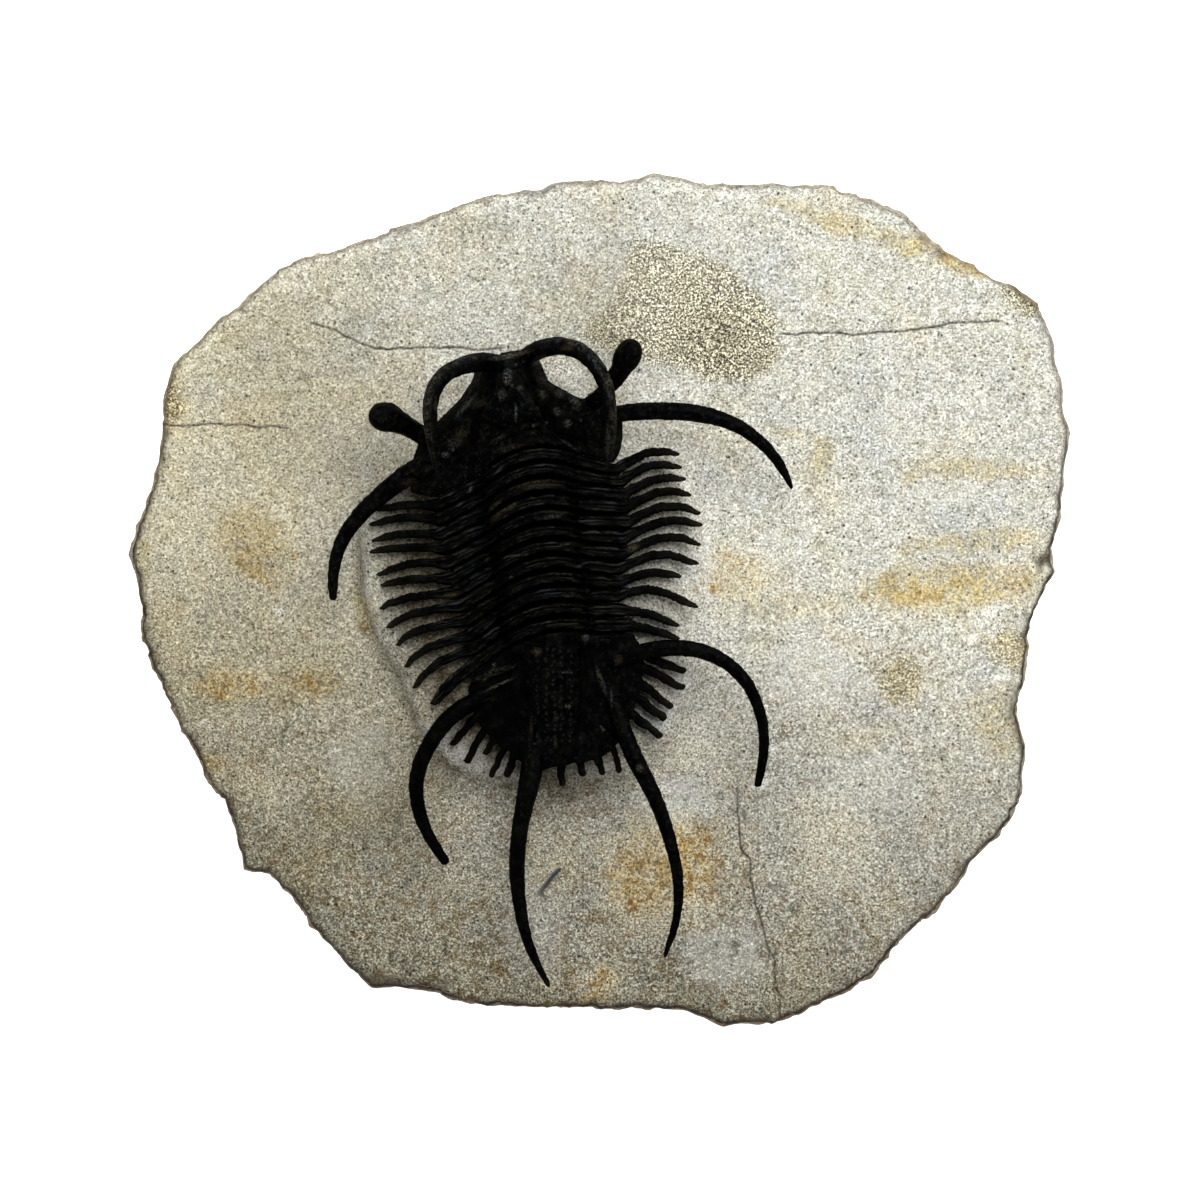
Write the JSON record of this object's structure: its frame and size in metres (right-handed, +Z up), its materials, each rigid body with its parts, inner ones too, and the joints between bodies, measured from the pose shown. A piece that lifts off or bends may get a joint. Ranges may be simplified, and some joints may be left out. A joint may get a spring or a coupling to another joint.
{
  "type": "ceratarges trilobite fossil",
  "caption": "Spiny black trilobite with curved horns, stalked eyes and long tail spines, prepared free on a flat-based slab of its limestone.",
  "frame": {"origin": "middle of the slab's flat sawn base", "axes": "+Z up out of the slab's upper face, +Y towards the trilobite's head, +X towards its right side"},
  "size_m": [0.1032, 0.0936, 0.0402],
  "materials": {
    "limestone": "rough broken limestone, finely speckled grey and cream, with ochre stains and thin cracks",
    "black_calcite": "satin black fossil shell, finely ridged and granular"
  },
  "bodies": {
    "root": {"matrix_slab": "limestone", "cephalon": "black_calcite", "thoracic_segment_01": "black_calcite", "thoracic_segment_02": "black_calcite", "thoracic_segment_03": "black_calcite", "thoracic_segment_04": "black_calcite", "thoracic_segment_05": "black_calcite", "thoracic_segment_06": "black_calcite", "thoracic_segment_07": "black_calcite", "thoracic_segment_08": "black_calcite", "thoracic_segment_09": "black_calcite", "thoracic_segment_10": "black_calcite", "thoracic_segment_11": "black_calcite", "thoracic_segment_12": "black_calcite", "pygidium": "black_calcite"}
  },
  "joints": []
}
